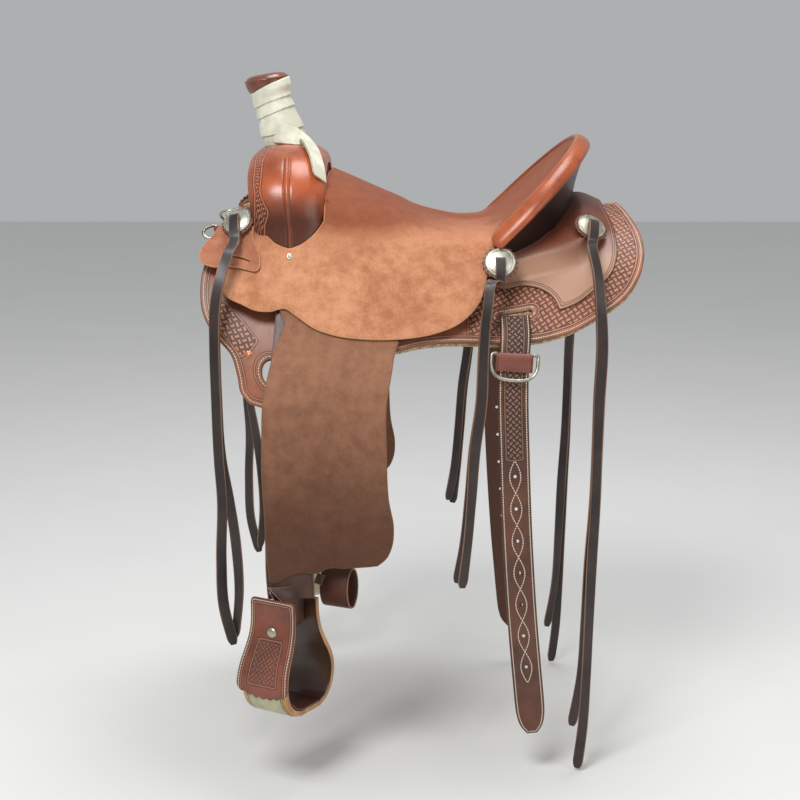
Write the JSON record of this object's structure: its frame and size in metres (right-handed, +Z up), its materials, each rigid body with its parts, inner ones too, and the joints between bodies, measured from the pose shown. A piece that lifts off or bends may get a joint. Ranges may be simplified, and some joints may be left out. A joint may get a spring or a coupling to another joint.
{
  "type": "western saddle",
  "caption": "Western all-around saddle with wrapped horn, swell fork, low cantle, square skirts, hanging fenders, bell stirrups, flank billets and saddle strings.",
  "frame": {"origin": "on the middle plane at the ridge of the horse's back or of the saddle rack, under the middle of the seat", "axes": "+X towards the cantle, -X towards the horn, -Y towards the near (left) side, +Z up"},
  "size_m": [0.6547, 0.7172, 1.0312],
  "materials": {
    "rough_leather": "rough-out, no sheen",
    "fender_leather": "rough-out, no sheen",
    "skirt_leather": "satin, tooled",
    "polished_leather": "glossy",
    "dark_leather": "satin",
    "string_leather": "waxed",
    "mulehide": "chalky suede",
    "fleece": "sheepskin pile",
    "wood": "satin",
    "silver": "polished",
    "steel": "satin"
  },
  "bodies": {
    "saddle": {"tree_fork": "wood", "tree_cantle": "wood", "fork_cover": "polished_leather", "horn_cap_cover": "polished_leather", "horn_wrap": "mulehide", "cantle_back_cover": "dark_leather", "cantle_roll": "polished_leather", "seat": "rough_leather", "tree_bar_left": "wood", "tree_bar_right": "wood", "skirt_left": "skirt_leather", "skirt_right": "skirt_leather", "sheepskin_left": "fleece", "sheepskin_right": "fleece", "rigging_plate_left": "skirt_leather", "rigging_plate_right": "skirt_leather", "rear_jockey_left": "skirt_leather", "rear_jockey_right": "skirt_leather", "front_jockey_left": "rough_leather", "front_jockey_right": "rough_leather", "rosette_front_left": "dark_leather", "rosette_front_right": "dark_leather", "rosette_middle_left": "dark_leather", "rosette_middle_right": "dark_leather", "rosette_rear_left": "dark_leather", "rosette_rear_right": "dark_leather", "concho_front_left": "silver", "concho_front_right": "silver", "concho_middle_left": "silver", "concho_middle_right": "silver", "concho_rear_left": "silver", "concho_rear_right": "silver", "string_front_left": "string_leather", "string_front_right": "string_leather", "string_middle_left": "string_leather", "string_middle_right": "string_leather", "string_rear_left": "string_leather", "string_rear_right": "string_leather", "breast_chape_left": "polished_leather", "breast_chape_right": "polished_leather"},
    "fender_assembly_left": {"fender_left": "fender_leather", "stirrup_leather_left": "dark_leather", "hobble_strap_left": "dark_leather"},
    "stirrup_left": {"stirrup_frame_left": "wood", "stirrup_binding_left": "steel", "stirrup_cover_left": "polished_leather", "stirrup_bolt_left": "steel"},
    "billet_left": {"flank_billet_left": "dark_leather"},
    "billet_ring_left": {"flank_ring_left": "steel"},
    "collar_ring_left": {"breast_ring_left": "steel"},
    "fender_assembly_right": {"fender_right": "fender_leather", "stirrup_leather_right": "dark_leather", "hobble_strap_right": "dark_leather"},
    "stirrup_right": {"stirrup_frame_right": "wood", "stirrup_binding_right": "steel", "stirrup_cover_right": "polished_leather", "stirrup_bolt_right": "steel"},
    "billet_right": {"flank_billet_right": "dark_leather"},
    "billet_ring_right": {"flank_ring_right": "steel"},
    "collar_ring_right": {"breast_ring_right": "steel"}
  },
  "joints": [
    {"name": "fender_swing_left", "type": "hinge", "parent": "saddle", "child": "fender_assembly_left", "pos_m": [-0.145, -0.19113, -0.03995], "axis": [0, -0.8829, 0.4695], "range_deg": [-25, 15], "deforming": ["string_front_left"]},
    {"name": "stirrup_swing_left", "type": "hinge", "parent": "fender_assembly_left", "child": "stirrup_left", "pos_m": [-0.163, -0.279, -0.52], "axis": [0.515, 0.8572, 0], "range_deg": [-40, 40]},
    {"name": "billet_swing_left", "type": "hinge", "parent": "saddle", "child": "billet_left", "pos_m": [0.1655, -0.21, -0.083], "axis": [-1, 0, 0], "range_deg": [0, 60]},
    {"name": "billet_ring_swing_left", "type": "hinge", "parent": "billet_left", "child": "billet_ring_left", "pos_m": [0.16454, -0.2474, -0.13617], "axis": [-0.9979, 0.0156, 0.0621], "range_deg": [0, 50]},
    {"name": "collar_ring_swing_left", "type": "hinge", "parent": "saddle", "child": "collar_ring_left", "pos_m": [-0.2692, -0.1241, 0.0292], "axis": [-0.2789, 0.6494, 0.7075], "range_deg": [0, 25]},
    {"name": "fender_swing_right", "type": "hinge", "parent": "saddle", "child": "fender_assembly_right", "pos_m": [-0.145, 0.19113, -0.03995], "axis": [0, -0.8829, -0.4695], "range_deg": [-25, 15], "deforming": ["string_front_right"]},
    {"name": "stirrup_swing_right", "type": "hinge", "parent": "fender_assembly_right", "child": "stirrup_right", "pos_m": [-0.163, 0.279, -0.52], "axis": [-0.515, 0.8572, 0], "range_deg": [-40, 40]},
    {"name": "billet_swing_right", "type": "hinge", "parent": "saddle", "child": "billet_right", "pos_m": [0.1655, 0.21, -0.083], "axis": [1, 0, 0], "range_deg": [0, 60]},
    {"name": "billet_ring_swing_right", "type": "hinge", "parent": "billet_right", "child": "billet_ring_right", "pos_m": [0.16454, 0.2474, -0.13617], "axis": [0.9979, 0.0156, -0.0621], "range_deg": [0, 50]},
    {"name": "collar_ring_swing_right", "type": "hinge", "parent": "saddle", "child": "collar_ring_right", "pos_m": [-0.2692, 0.1241, 0.0292], "axis": [0.2789, 0.6494, -0.7075], "range_deg": [0, 25]}
  ]
}
